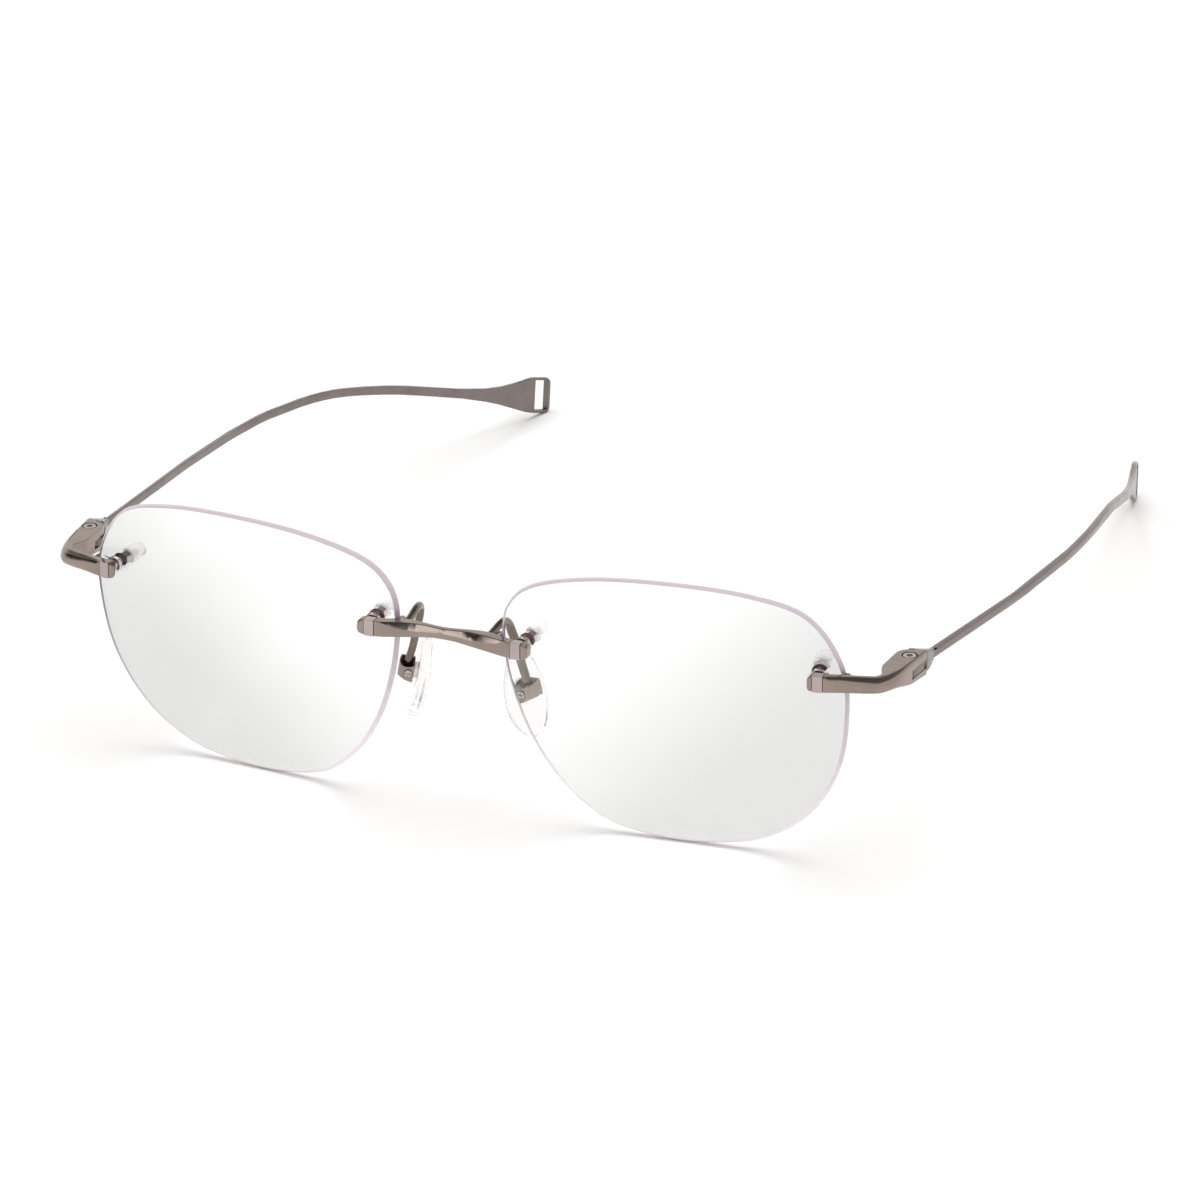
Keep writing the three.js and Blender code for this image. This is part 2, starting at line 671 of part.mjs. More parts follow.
// Box that holds the pad's mount: a flat front plate with a bucket-shaped body behind it, open
// to the nose, with a polished scoop where the arm meets it. It is round in all three views.
function padBox() {
  const outline = new THREE.Shape()
    .moveTo(0, boxBottom)
    .lineTo(boxLength - 1.6, boxBottom)
    .quadraticCurveTo(boxLength, boxBottom, boxLength, 0.2)
    .quadraticCurveTo(boxLength, boxTop, boxLength - 1.5, boxTop)
    .lineTo(0, boxTop);
  const cup = new THREE.ExtrudeGeometry(outline, {
    depth: boxOuter - boxRim, bevelEnabled: false, curveSegments: 7,
  }).applyMatrix4(sideways).translate(boxRim, 0, 0);
  const facing = new THREE.Shape()
    .moveTo(boxRim, boxBottom)
    .quadraticCurveTo(boxOuter - 0.9, boxBottom + 0.1, boxOuter, boxOuterBottom)
    .lineTo(boxOuter, boxTop - 0.9)
    .quadraticCurveTo(boxOuter, boxTop, boxOuter - 0.9, boxTop)
    .lineTo(boxRim, boxTop);
  const bucket = new THREE.ExtrudeGeometry(facing, {
    depth: boxLength + 2, bevelEnabled: false, curveSegments: 6,
  }).rotateX(Math.PI / 2).translate(0, boxLength + 1, 0);
  const plan = new THREE.Shape()
    .moveTo(boxRim, 0)
    .lineTo(boxOuter, 0)
    .lineTo(boxOuter, 0.9)
    .quadraticCurveTo(boxOuter, boxLength, 0.1, boxLength)
    .lineTo(boxRim, boxLength);
  const round = new THREE.ExtrudeGeometry(plan, {
    depth: boxTop - boxBottom + 2, bevelEnabled: false, curveSegments: 7,
  }).translate(0, 0, boxBottom - 1);
  const pocket = block([boxRim - 1, boxWall, -1.1], [boxOuter - boxWall, boxLength - boxWall, 1]);
  const scoop = new THREE.SphereGeometry(scoopRadius, 18, 12).translate(...scoopCentre);
  return cut(
    common(common(cup, bucket), round), pocket, scoop,
    rod(padScrewRadius + runningFit, -1, boxLength - 0.15),
    rod(padScrewHead + runningFit, -1, 0.22),
  );
}

function padScrew() {
  const body = join(
    rod(padScrewRadius, 0.1, boxLength - 0.22, 12),
    rod(padScrewHead, -0.12, 0.18),
  );
  const slotWidth = 0.09;
  return cut(
    body,
    block([-slotWidth, -1, -0.45], [slotWidth, 0.04, 0.45]),
    block([-0.45, -1, -slotWidth], [0.45, 0.04, slotWidth]),
  );
}

// Egg-shaped ring of the pad in its local y and z, bowed away from the nose at the ends.
function padRing(scale, x) {
  const sides = 28;
  return Array.from({ length: sides }, (_, side) => {
    const angle = (side / sides) * Math.PI * 2;
    const up = Math.sin(angle);
    const y = (padWidth / 2) * scale * Math.cos(angle) * (1 - 0.1 * up);
    const z = (padHeight / 2) * scale * up;
    return [x + (z * z) / padBow, padCentre[0] + y, padCentre[1] + z];
  });
}

// Oval disc in the back of the pad, between two depths.
function padFoot(radius, deep, shallow) {
  return rod(radius, deep, shallow, 24).rotateZ(-Math.PI / 2).scale(1, 0.9, 1.35)
    .translate(padBack, boxLength / 2, 0);
}

function nosePad() {
  const rings = [
    [0.2, -padThickness], [0.5, -1.94], [0.75, -1.78], [0.92, -1.45], [0.99, -1.05], [1, -0.6],
    [0.93, -0.12], [0.8, 0],
  ];
  const body = loft(rings.map(([scale, depth]) => padRing(scale, padBack + depth)));
  return cut(body, padFoot(footRadius + seatGap, -footThickness - seatGap, 1));
}

// Mount moulded into the pad: an oval foot and a drilled tab that rocks in the box.
function padMount() {
  const front = boxWall + 0.1;
  const rear = boxLength - boxWall - 0.1;
  const tab = join(
    padFoot(footRadius, -footThickness, 0),
    rod(tabRadius, front, rear),
    block([padBack - footThickness / 2, front, 0.02 - tabRadius], [0, rear, tabRadius - 0.02]),
  );
  return cut(tab, rod(padScrewRadius + runningFit, -1, boxLength + 1));
}

// ---------------------------------------------------------------- assembly

const glasses = new THREE.Group();
glasses.name = 'eyeglasses';
glasses.position.y = -(overallDepth - bandProud) / 2; // the bands stand proud of the bridge

function put(parent, name, geometry, finish) {
  const mesh = new THREE.Mesh(geometry, new THREE.MeshStandardMaterial({ ...finish, flatShading: true }));
  mesh.name = name;
  parent.add(mesh);
}

// A mirrored pair is made once for the wearer's left, at +X, and reflected for the right.
function placeOn(side, parent, { position, rotation }) {
  const group = new THREE.Group();
  group.position.set(side * position[0], position[1], position[2]);
  group.rotation.set(rotation[0], side * rotation[1], side * rotation[2]);
  parent.add(group);
  return group;
}

const mountPieces = [
  ['stud', stud(), finishes.chrome],
  ['rear_washer', rearWasher(), finishes.chrome],
  ['hex_nut', hexNut(), finishes.chrome],
  ['stud_cap', studCap(), finishes.clear],
];

const frontPairs = [
  ['endpiece', endpiece(), finishes.pewter],
  ['hinge_screw', hingeScrew(), finishes.chrome],
  ['temple', temple(), finishes.temple],
  ['pad_arm', padArm(), finishes.pewter],
];

const padPairs = [
  ['pad_box', padBox(), finishes.pewter],
  ['pad_screw', padScrew(), finishes.chrome],
  ['pad_mount', padMount(), finishes.chrome],
  ['nose_pad', nosePad(), finishes.clear],
];

const lensGeometry = drilledLens();

put(glasses, 'bridge', bridge(), finishes.pewter);

for (const side of [1, -1]) {
  const hand = side > 0 ? 'left' : 'right';
  const handed = (geometry) => (side > 0 ? geometry : mirrorX(geometry));

  const lensGroup = placeOn(side, glasses, lensFrame);
  put(lensGroup, `lens_${hand}`, handed(lensGeometry), finishes.lens);
  for (const [mount, hole] of [['bridge', bridgeHole], ['endpiece', endpieceHole]]) {
    const studGroup = placeOn(side, lensGroup, studFrame(hole));
    for (const [name, geometry, finish] of mountPieces) {
      put(studGroup, `${mount}_${name}_${hand}`, handed(geometry), finish);
    }
  }

  for (const [name, geometry, finish] of frontPairs) {
    put(glasses, `${name}_${hand}`, handed(geometry), finish);
  }

  const bridgeBandGroup = placeOn(side, glasses, bridgeBandFrame);
  put(bridgeBandGroup, `bridge_band_${hand}`, handed(bridgeBandParts.band), finishes.band);
  const endpieceBandGroup = placeOn(side, glasses, endpieceBandFrame);
  put(endpieceBandGroup, `endpiece_band_${hand}`, handed(endpieceBandParts.band), finishes.band);

  const padGroup = placeOn(side, glasses, padFrame);
  for (const [name, geometry, finish] of padPairs) {
    put(padGroup, `${name}_${hand}`, handed(geometry), finish);
  }
}

export default glasses;
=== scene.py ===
"""Rimless eyeglasses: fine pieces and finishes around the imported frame."""

import json
import math

import bmesh
import bpy
from mathutils import Matrix, Vector

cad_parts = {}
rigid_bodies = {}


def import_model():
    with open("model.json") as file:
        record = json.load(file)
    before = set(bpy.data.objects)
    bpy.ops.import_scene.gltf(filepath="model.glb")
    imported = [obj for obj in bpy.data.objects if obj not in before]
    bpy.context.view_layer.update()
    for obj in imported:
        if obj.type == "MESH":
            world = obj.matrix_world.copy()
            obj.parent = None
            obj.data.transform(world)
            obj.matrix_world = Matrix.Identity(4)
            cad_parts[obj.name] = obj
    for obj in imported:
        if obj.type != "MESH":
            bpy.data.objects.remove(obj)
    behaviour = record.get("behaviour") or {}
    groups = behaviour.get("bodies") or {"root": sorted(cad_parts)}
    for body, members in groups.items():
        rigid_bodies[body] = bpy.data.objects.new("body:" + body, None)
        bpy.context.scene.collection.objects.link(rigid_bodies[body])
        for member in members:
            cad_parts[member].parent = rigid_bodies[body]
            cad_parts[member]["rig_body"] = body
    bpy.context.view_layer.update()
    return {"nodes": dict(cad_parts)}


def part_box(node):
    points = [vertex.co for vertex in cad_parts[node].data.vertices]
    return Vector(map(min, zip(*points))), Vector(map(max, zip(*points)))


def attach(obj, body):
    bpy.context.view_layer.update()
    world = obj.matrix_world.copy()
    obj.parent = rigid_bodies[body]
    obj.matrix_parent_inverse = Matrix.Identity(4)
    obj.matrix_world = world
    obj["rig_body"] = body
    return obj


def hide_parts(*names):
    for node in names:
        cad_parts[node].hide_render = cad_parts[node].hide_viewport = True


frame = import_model()

# ---------------------------------------------------------------- dimensions
# Millimetres. X runs to the wearer's left, Y back from the front face of the bridge, Z up.

MM = 0.001
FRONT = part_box("bridge")[0].y  # the bridge's front face, in metres
DESIGN = Matrix.Translation((0, FRONT, 0)) @ Matrix.Scale(MM, 4)
SIDES = (("left", 1), ("right", -1))

LENS_CENTRE = (34.3, 3.95, 22.174)
LENS_TILT = math.radians(8.15)
LENS_WRAP = math.radians(5.06)
LENS_CURVE = 160  # radius of both faces
LENS_THICKNESS = 1.35
LENS_FRONT_CHAMFER = 0.45  # at mid height; wider below and narrower above
LENS_BACK_CHAMFER = 0.38
LENS_CHAMFER_SLANT = 0.03  # share of the front one's width gained per millimetre down
LENS_CHAMFER_START = 0.01  # how far below the face the chamfer starts
LENS_RINGS = 9
LENS_STEPS = 8  # between two points of the outline
LENS_OUTLINE = [  # across and up from the lens's centre
    (25.2, 0), (24.8, 9.1), (20, 16.8), (11.4, 19.7), (0, 20.5), (-11.4, 19.8), (-20.7, 17.4),
    (-24.9, 13.6), (-26, 8.2), (-24.9, 0), (-22.2, -8.2), (-18, -15.1), (-11.8, -20.5), (-3.9, -22.4),
    (3.9, -22.4), (12, -20.7), (18.9, -15.9), (23.4, -8.5),
]
STUD_HOLES = [(-22.43, 7.97), (21.4, 8.18)]
STUD_HOLE_RADIUS = 0.65
LUG_NOTCHES = [(-26.55, 8.2), (25.4, 7.7)]
LUG_NOTCH_RADIUS = 0.6
DRILL_SIDES = 40
DRILL_REACH = 1  # beyond each face of the lens

PAD_SCREW = (9.25, 8.55, 19.6)
PAD_TILT = math.radians(-12)
PAD_SPLAY = math.radians(-25)
PAD_BACK = -1.5  # from the screw's axis towards the nose
PAD_THICKNESS = 2
PAD_HEIGHT = 13.3
PAD_WIDTH = 7.4
PAD_TAPER = 0.1  # share of its width lost at the top and gained at the bottom
PAD_CENTRE = (2.1, -0.95)  # back and up from the screw
PAD_BOW = 100
PAD_SIDES = 64
PAD_DOME = 0.741  # height of the rounding on the side that touches the nose
PAD_DOME_ANGLES = range(10, 81, 10)  # degrees from its middle to its rim
PAD_EDGE = [  # share of the outline's size and place from the back, round the edge and over the back
    (1, -1), (1, -0.55), (0.975, -0.22), (0.93, -0.06),
    (0.88, 0), (0.82, -0.02), (0.78, -0.12), (0.7, -0.16),
]
FOOT_CENTRE = (1.65, 0)
FOOT_RADII = (1.21, 1.81)  # across and up, with the gap round the foot
FOOT_DEPTH = 0.44
FOOT_WELL = [(1.12, -0.1), (1.04, -0.06), (1, -0.1), (1, -FOOT_DEPTH), (0.9, -FOOT_DEPTH)]

# ---------------------------------------------------------------- finishing of the CAD shapes

BEVEL = 0.07  # millimetres, broken edges of the machined metal
BEVEL_SEGMENTS = 2
SHARP_ANGLE = 60  # degrees between two faces whose edge is broken
FLAT_ANGLE = math.radians(1.5)  # faces closer than this become one
MERGE_DISTANCE = 1e-6  # metres
PAIR_FACE_ANGLE = math.radians(40)  # most between two triangles that are paired
PAIR_SHAPE_ANGLE = math.radians(80)  # most that the pair's corners are off square
SMOOTHING = 2
LEANING = (0.3, 0.9)  # upward part of the normal of a face that leans
SMALLEST_POLISHED = 0.02 * MM * MM

# ---------------------------------------------------------------- studio

CAMERA_TARGET = (24.61, 0.16, 39.78)
CAMERA_AZIMUTH = math.radians(22.39)
CAMERA_ELEVATION = math.radians(22.46)
CAMERA_DISTANCE = 764.4
CAMERA_LENS = 162.17
CAMERA_SENSOR = 36

# Brightness of the surroundings against the height of the direction, 0 level to 1 overhead.
WALL_LEVELS = [(0, 1), (0.45, 1), (0.6, 0.26), (1, 0.17)]
PANEL_LEVELS = [(0, 1), (0.45, 1), (0.6, 0.7), (0.68, 2.1), (0.75, 2.1), (0.8, 0.04), (1, 0.03)]
WARMTH = (1, 0.985, 0.97)
# A place is a direction. Its reach is the cosines of the angles from it, where it starts and is full.
PANEL_PLACE = (-0.616, -0.788, 0)
PANEL_REACH = (0.42, 0.54)
FLAG_PLACE = (-0.88, -0.3, 0.4)
FLAG_REACH = (0.93, 0.97)
FLAG_COLOR = (0.035, 0.032, 0.03, 1)
LAMP_IRRADIANCE = 2.62
LAMP_WIDTH = math.radians(58)
LAMP_LEAN = Vector((0, 0.05, 1))
FLOOR_REACH = 6  # metres
FLOOR_COLOR = (0.82, 0.82, 0.82, 1)


# ---------------------------------------------------------------- node helpers

def add_node(tree, kind, inputs=None, **settings):
    made = tree.nodes.new(kind)
    for key, value in settings.items():
        setattr(made, key, value)
    for key, value in (inputs or {}).items():
        if isinstance(value, bpy.types.NodeSocket):
            tree.links.new(value, made.inputs[key])
        else:
            made.inputs[key].default_value = value
    return made


def new_material(name, **values):
    """A material with one Principled shader; values set its own sockets."""
    made = bpy.data.materials.new(name)
    made.use_nodes = True
    tree = made.node_tree
    shader = tree.nodes["Principled BSDF"]
    for key, value in values.items():
        shader.inputs[key.replace("_", " ")].default_value = value
    return made, tree, shader


def mix_colors(tree, factor, first, second):
    made = add_node(tree, "ShaderNodeMix", {"Factor": factor}, data_type="RGBA")
    made.inputs[6].default_value = (*first, 1)
    made.inputs[7].default_value = (*second, 1)
    return made.outputs[2]


def map_range(tree, value, from_range, to_range=(0, 1), **settings):
    return add_node(tree, "ShaderNodeMapRange", {
        "Value": value,
        "From Min": from_range[0], "From Max": from_range[1],
        "To Min": to_range[0], "To Max": to_range[1],
    }, **settings).outputs[0]


def object_coordinates(tree):
    return add_node(tree, "ShaderNodeTexCoord").outputs["Object"]


def noise(tree, vector, scale, detail=3):
    inputs = {"Vector": vector, "Scale": scale, "Detail": detail}
    return add_node(tree, "ShaderNodeTexNoise", inputs).outputs[0]


# ---------------------------------------------------------------- materials

def satin_metal(name, light, dark, roughness, grain, bump):
    """Brushed metal. Grain is the streaks' frequency per metre along X, Y and Z."""
    made, tree, shader = new_material(name, Metallic=1.0)
    coordinates = object_coordinates(tree)
    stretched = add_node(tree, "ShaderNodeMapping", {"Vector": coordinates, "Scale": grain}).outputs[0]
    streaks = noise(tree, stretched, scale=1)
    patina = map_range(tree, noise(tree, coordinates, scale=260, detail=5), from_range=(0.3, 0.7))
    sheen = map_range(tree, streaks, from_range=(0.25, 0.75), to_range=(roughness - 0.06, roughness + 0.07))
    relief = add_node(tree, "ShaderNodeBump", {"Height": streaks, "Strength": bump, "Distance": 2e-5})
    tree.links.new(mix_colors(tree, patina, dark, light), shader.inputs["Base Color"])
    tree.links.new(sheen, shader.inputs["Roughness"])
    tree.links.new(relief.outputs[0], shader.inputs["Normal"])
    return made


def let_lamps_through(tree, shader, shade):
    """Rays to the lamps pass clear pieces with a slight tint, instead of casting solid shadows."""
    clear = add_node(tree, "ShaderNodeBsdfTransparent", {"Color": (*shade, 1)})
    path = add_node(tree, "ShaderNodeLightPath")
    both = add_node(tree, "ShaderNodeMixShader", {0: path.outputs["Is Shadow Ray"],
                                                  1: shader.outputs[0], 2: clear.outputs[0]})
    tree.links.new(both.outputs[0], tree.nodes["Material Output"].inputs["Surface"])


def lens_glass():
    """Clear towards the nose and the top, greyer towards the temple and the bottom: painted shade in the
    glass's colour.
    """
    clear = (1, 1, 1)
    grey = (0.75, 0.755, 0.755)
    painted_shade_span = (-0.009, 0.032)  # metres outward less metres up, from clear to the grey of the painted shade
    made, tree, shader = new_material("lens_glass", IOR=1.5, Roughness=0.0, Transmission_Weight=1.0)
    axes = add_node(tree, "ShaderNodeSeparateXYZ", {"Vector": object_coordinates(tree)})
    outward = add_node(tree, "ShaderNodeMath", {0: axes.outputs["X"]}, operation="ABSOLUTE")
    across = add_node(tree, "ShaderNodeMath", {0: outward.outputs[0], 1: axes.outputs["Z"]},
                      operation="SUBTRACT")
    shade = map_range(tree, across.outputs[0], painted_shade_span, interpolation_type="SMOOTHSTEP")
    tree.links.new(mix_colors(tree, shade, clear, grey), shader.inputs["Base Color"])
    let_lamps_through(tree, shader, shade=(0.84, 0.84, 0.845))
    return made


def lens_edge():
    """Ground and polished lens edge, mauve above and pale pink below: its own mauve-pink tone, with painted
    light from the floor below and painted shade above.
    """
    pink = (0.9, 0.815, 0.84)
    mauve = (0.53, 0.455, 0.505)
    heights = (0.008, 0.034)  # metres, from the painted light below to the painted shade above
    cloudiness = 0.01  # metres that the noise moves the change
    made, tree, shader = new_material("lens_edge", Roughness=0.3, Coat_Weight=0.5, Coat_Roughness=0.1)
    coordinates = object_coordinates(tree)
    height = add_node(tree, "ShaderNodeSeparateXYZ", {"Vector": coordinates}).outputs["Z"]
    clouds = noise(tree, coordinates, scale=700)
    cloudy_height = add_node(tree, "ShaderNodeMath", {0: clouds, 1: cloudiness, 2: height},
                             operation="MULTIPLY_ADD")
    upward = map_range(tree, cloudy_height.outputs[0], heights, interpolation_type="SMOOTHSTEP")
    tree.links.new(mix_colors(tree, upward, pink, mauve), shader.inputs["Base Color"])
    return made


def clear_plastic(name, bending, clarity, roughness):
    made, tree, shader = new_material(name, IOR=bending, Transmission_Weight=clarity)
    haze = noise(tree, object_coordinates(tree), scale=420, detail=4)
    tint = mix_colors(tree, haze, (0.93, 0.925, 0.915), (0.985, 0.98, 0.975))
    gloss = map_range(tree, haze, from_range=(0.3, 0.7), to_range=(roughness - 0.04, roughness + 0.05))
    tree.links.new(tint, shader.inputs["Base Color"])
    tree.links.new(gloss, shader.inputs["Roughness"])
    let_lamps_through(tree, shader, shade=(0.93, 0.93, 0.92))
    return made


PEWTER = satin_metal("pewter", light=(0.33, 0.272, 0.237), dark=(0.276, 0.228, 0.198),
                     roughness=0.2, grain=(90, 2600, 2600), bump=0.12)
PEWTER_POLISH = satin_metal("pewter_polish", light=(0.33, 0.275, 0.243), dark=(0.29, 0.242, 0.212),
                            roughness=0.15, grain=(90, 2600, 2600), bump=0.02)
TEMPLE = satin_metal("temple_satin", light=(0.217, 0.18, 0.171), dark=(0.18, 0.15, 0.142),
                     roughness=0.26, grain=(1500, 40, 1500), bump=0.03)
ARM = satin_metal("arm_satin", light=(0.2, 0.165, 0.135), dark=(0.165, 0.136, 0.112),
                  roughness=0.2, grain=(900, 900, 900), bump=0.12)
BAND = satin_metal("band_polish", light=(0.47, 0.4, 0.39), dark=(0.41, 0.345, 0.34),
                   roughness=0.14, grain=(2600, 2600, 300), bump=0.05)
CHROME = satin_metal("chrome", light=(0.68, 0.6, 0.6), dark=(0.58, 0.51, 0.51),
                     roughness=0.1, grain=(2000, 2000, 2000), bump=0.02)
SCREW = satin_metal("screw_polish", light=(0.5, 0.445, 0.435), dark=(0.42, 0.375, 0.365),
                    roughness=0.12, grain=(2000, 2000, 2000), bump=0.02)
# The washers' dark brown is a painted dark reflection; their own colour is not known.
WASHER_DARK_REFLECTION = satin_metal("washer_painted_reflection", light=(0.17, 0.095, 0.1), dark=(0.12, 0.065, 0.07),
                     roughness=0.1, grain=(2000, 2000, 2000), bump=0.02)
LENS_GLASS = lens_glass()
LENS_EDGE = lens_edge()
PAD_PLASTIC = clear_plastic("pad_silicone", bending=1.2, clarity=1, roughness=0.12)
CAP_PLASTIC = clear_plastic("cap_plastic", bending=1.3, clarity=0.72, roughness=0.12)


# ---------------------------------------------------------------- mesh helpers

def link(name, mesh):
    made = bpy.data.objects.new(name, mesh)
    bpy.context.scene.collection.objects.link(made)
    return made


def apply_modifiers(piece):
    evaluated = piece.evaluated_get(bpy.context.evaluated_depsgraph_get())
    finished = bpy.data.meshes.new_from_object(evaluated)
    piece.modifiers.clear()
    piece.data = finished


def stand_for(piece, node, slot, *materials):
    """The piece rides with the CAD node that it replaces."""
    piece.data.materials.clear()
    for material in materials:
        piece.data.materials.append(material)
    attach(piece, frame["nodes"][node]["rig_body"])
    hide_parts(node)


def fine_copy(node, paired=False):
    """A copy of the CAD node with its points merged and, if paired, its triangles joined in twos."""
    mesh = frame["nodes"][node].data.copy()
    editable = bmesh.new()
    editable.from_mesh(mesh)
    bmesh.ops.remove_doubles(editable, verts=editable.verts, dist=MERGE_DISTANCE)
    if paired:
        bmesh.ops.join_triangles(editable, faces=editable.faces, angle_face_threshold=PAIR_FACE_ANGLE,
                                 angle_shape_threshold=PAIR_SHAPE_ANGLE)
    editable.to_mesh(mesh)
    editable.free()
    mesh.shade_smooth()
    return link(node + "_fine", mesh)


def break_edges(piece, width, angle):
    broken = piece.modifiers.new("edges", "BEVEL")
    broken.width = width * MM
    broken.segments = BEVEL_SEGMENTS
    broken.limit_method = "ANGLE"
    broken.angle_limit = math.radians(angle)
    broken.use_clamp_overlap = False
    return broken


def polish_bevels(piece):
    """Upper faces that lean between level and upright get the second material."""
    for face in piece.data.polygons:
        leaning = LEANING[0] < face.normal.z < LEANING[1] and face.area > SMALLEST_POLISHED
        face.material_index = 1 if leaning else 0


def machined(node, slot, *materials, bevel=BEVEL, angle=SHARP_ANGLE):
    """The CAD node's own shape, with flat faces made whole and edges broken.

    With a second material, its leaning upper faces are polished.
    """
    piece = fine_copy(node)
    flat = piece.modifiers.new("flat", "DECIMATE")
    flat.decimate_type = "DISSOLVE"
    flat.angle_limit = FLAT_ANGLE
    break_edges(piece, bevel, angle).harden_normals = True
    piece.modifiers.new("normals", "WEIGHTED_NORMAL").keep_sharp = True
    apply_modifiers(piece)
    stand_for(piece, node, slot, *materials)
    if len(materials) > 1:
        polish_bevels(piece)


def rounded(node, slot, material):
    """The CAD node's own shape, with edges broken and facets smoothed into curves."""
    piece = fine_copy(node, paired=True)
    break_edges(piece, BEVEL, SHARP_ANGLE)
    smooth = piece.modifiers.new("smooth", "SUBSURF")
    smooth.levels = SMOOTHING
    smooth.render_levels = SMOOTHING
    apply_modifiers(piece)
    stand_for(piece, node, slot, material)


def closed_spline(points, steps):
    """Points along a closed Catmull-Rom curve, steps of them from each point to the next."""
    count = len(points)
    along = []
    for index in range(count):
        before, start, end, after = (Vector(points[(index + shift) % count]) for shift in (-1, 0, 1, 2))
        for step in range(steps):
            t = step / steps
            along.append(0.5 * (2 * start + (end - before) * t
                                + (2 * before - 5 * start + 4 * end - after) * t ** 2
                                + (3 * start - before - 3 * end + after) * t ** 3))
    return along


def circle_angles(sides):
    return [math.tau * step / sides for step in range(sides)]


def outward_faces(mesh):
    editable = bmesh.new()
    editable.from_mesh(mesh)
    bmesh.ops.recalc_face_normals(editable, faces=editable.faces)
    editable.to_mesh(mesh)
    editable.free()


def loft_mesh(name, rings, first_centre, last_centre, transform, side, edge_bands=()):
    """Skin over equal rings, closed by a fan at each end. Bands in edge_bands get material 1."""
    sides = len(rings[0])
    points = [first_centre, *[point for ring in rings for point in ring], last_centre]
    last = len(points) - 1
    faces = []
    marks = []
    for corner in range(sides):
        following = (corner + 1) % sides
        faces.append((0, 1 + following, 1 + corner))
        marks.append(0)
        for band in range(len(rings) - 1):
            a = 1 + band * sides + corner
            b = 1 + band * sides + following
            faces.append((a, b, b + sides, a + sides))
            marks.append(1 if band in edge_bands else 0)
        faces.append((last, last - sides + corner, last - sides + following))
        marks.append(0)
    mesh = bpy.data.meshes.new(name)
    mesh.from_pydata([tuple(point) for point in points], [], faces)
    mesh.polygons.foreach_set("material_index", marks)
    mesh.transform(Matrix.Scale(side, 4, (1, 0, 0)) @ DESIGN @ transform)
    outward_faces(mesh)
    mesh.shade_smooth()
    return mesh


# ---------------------------------------------------------------- lenses

LENS_FRAME = (Matrix.Translation(LENS_CENTRE) @ Matrix.Rotation(LENS_TILT, 4, "X")
              @ Matrix.Rotation(LENS_WRAP, 4, "Z"))


def lens_sag(u, v):
    return (u * u + v * v) / (2 * LENS_CURVE)


def link_lens_mesh(name, mesh):
    """The glass is material 0 and the ground edge material 1."""
    mesh.materials.append(LENS_GLASS)
    mesh.materials.append(LENS_EDGE)
    return link(name, mesh)


def lens_drill(place, radius, side):
    """Cutter square to the lens at a hole or notch."""
    u, v = place
    square = (Matrix.Translation((u, lens_sag(u, v), v)) @ Matrix.Rotation(-math.atan(v / LENS_CURVE), 4, "X")
              @ Matrix.Rotation(math.atan(u / LENS_CURVE), 4, "Z"))
    circle = circle_angles(DRILL_SIDES)
    ends = (-DRILL_REACH, LENS_THICKNESS + DRILL_REACH)
    rings = [[(radius * math.cos(angle), end, radius * math.sin(angle)) for angle in circle] for end in ends]
    mesh = loft_mesh("drill", rings, (0, ends[0], 0), (0, ends[1], 0), LENS_FRAME @ square, side, (0,))
    return link_lens_mesh("drill", mesh)


def cut_holes(piece, drills):
    for drill in drills:
        hole = piece.modifiers.new("hole", "BOOLEAN")
        hole.object = drill
        hole.solver = "EXACT"
    apply_modifiers(piece)
    for drill in drills:
        bpy.data.objects.remove(drill)


def chamfer_profile(width):
    """Inset from the outline and depth from the face, for each ring from the face to the edge."""
    return [(width * 1.3, 0), (width, LENS_CHAMFER_START), (width * 0.3, width * 0.6), (0, width * 1.1)]


def lens_rings():
    """Rings from the middle of the front face, over the chamfered edge, to the middle of the back."""
    outline = closed_spline(LENS_OUTLINE, LENS_STEPS)
    reach = sum(point.length for point in outline) / len(outline)

    def ring(inset, offset, slant=0):
        points = []
        for u, v in outline:
            scale = 1 - inset * (1 - slant * v) / reach
            points.append((u * scale, lens_sag(u * scale, v * scale) + offset, v * scale))
        return points

    steps = [reach * (1 - step / LENS_RINGS) for step in range(1, LENS_RINGS)]
    front = chamfer_profile(LENS_FRONT_CHAMFER)
    back = chamfer_profile(LENS_BACK_CHAMFER)
    return [
        *[ring(inset, 0) for inset in steps],
        *[ring(inset, depth, LENS_CHAMFER_SLANT) for inset, depth in front],
        *[ring(inset, LENS_THICKNESS - depth) for inset, depth in reversed(back)],
        *[ring(inset, LENS_THICKNESS) for inset in reversed(steps)],
    ]


def make_lens(hand, side):
    name = f"lens_{hand}_fine"
    edge_bands = range(LENS_RINGS, LENS_RINGS + 5)  # from the start of one chamfer to that of the other
    mesh = loft_mesh(name, lens_rings(), (0, 0, 0), (0, LENS_THICKNESS, 0), LENS_FRAME, side, edge_bands)
    piece = link_lens_mesh(name, mesh)
    drills = [lens_drill(place, STUD_HOLE_RADIUS, side) for place in STUD_HOLES]
    drills += [lens_drill(place, LUG_NOTCH_RADIUS, side) for place in LUG_NOTCHES]
    cut_holes(piece, drills)
    marks = [polygon.material_index for polygon in piece.data.polygons]
    stand_for(piece, f"lens_{hand}", "lens_clear", LENS_GLASS, LENS_EDGE)
    piece.data.polygons.foreach_set("material_index", marks)


# ---------------------------------------------------------------- nose pads

PAD_FRAME = (Matrix.Translation(PAD_SCREW) @ Matrix.Rotation(PAD_TILT, 4, "Y")
             @ Matrix.Rotation(PAD_SPLAY, 4, "Z"))


def pad_ring(scale, depth):
    """Egg-shaped ring, bowed away from the nose towards its ends."""
    ring = []
    for angle in circle_angles(PAD_SIDES):
        y = PAD_WIDTH / 2 * scale * math.cos(angle) * (1 - PAD_TAPER * math.sin(angle))
        z = PAD_HEIGHT / 2 * scale * math.sin(angle)
        ring.append((PAD_BACK + depth + z * z / PAD_BOW, PAD_CENTRE[0] + y, PAD_CENTRE[1] + z))
    return ring


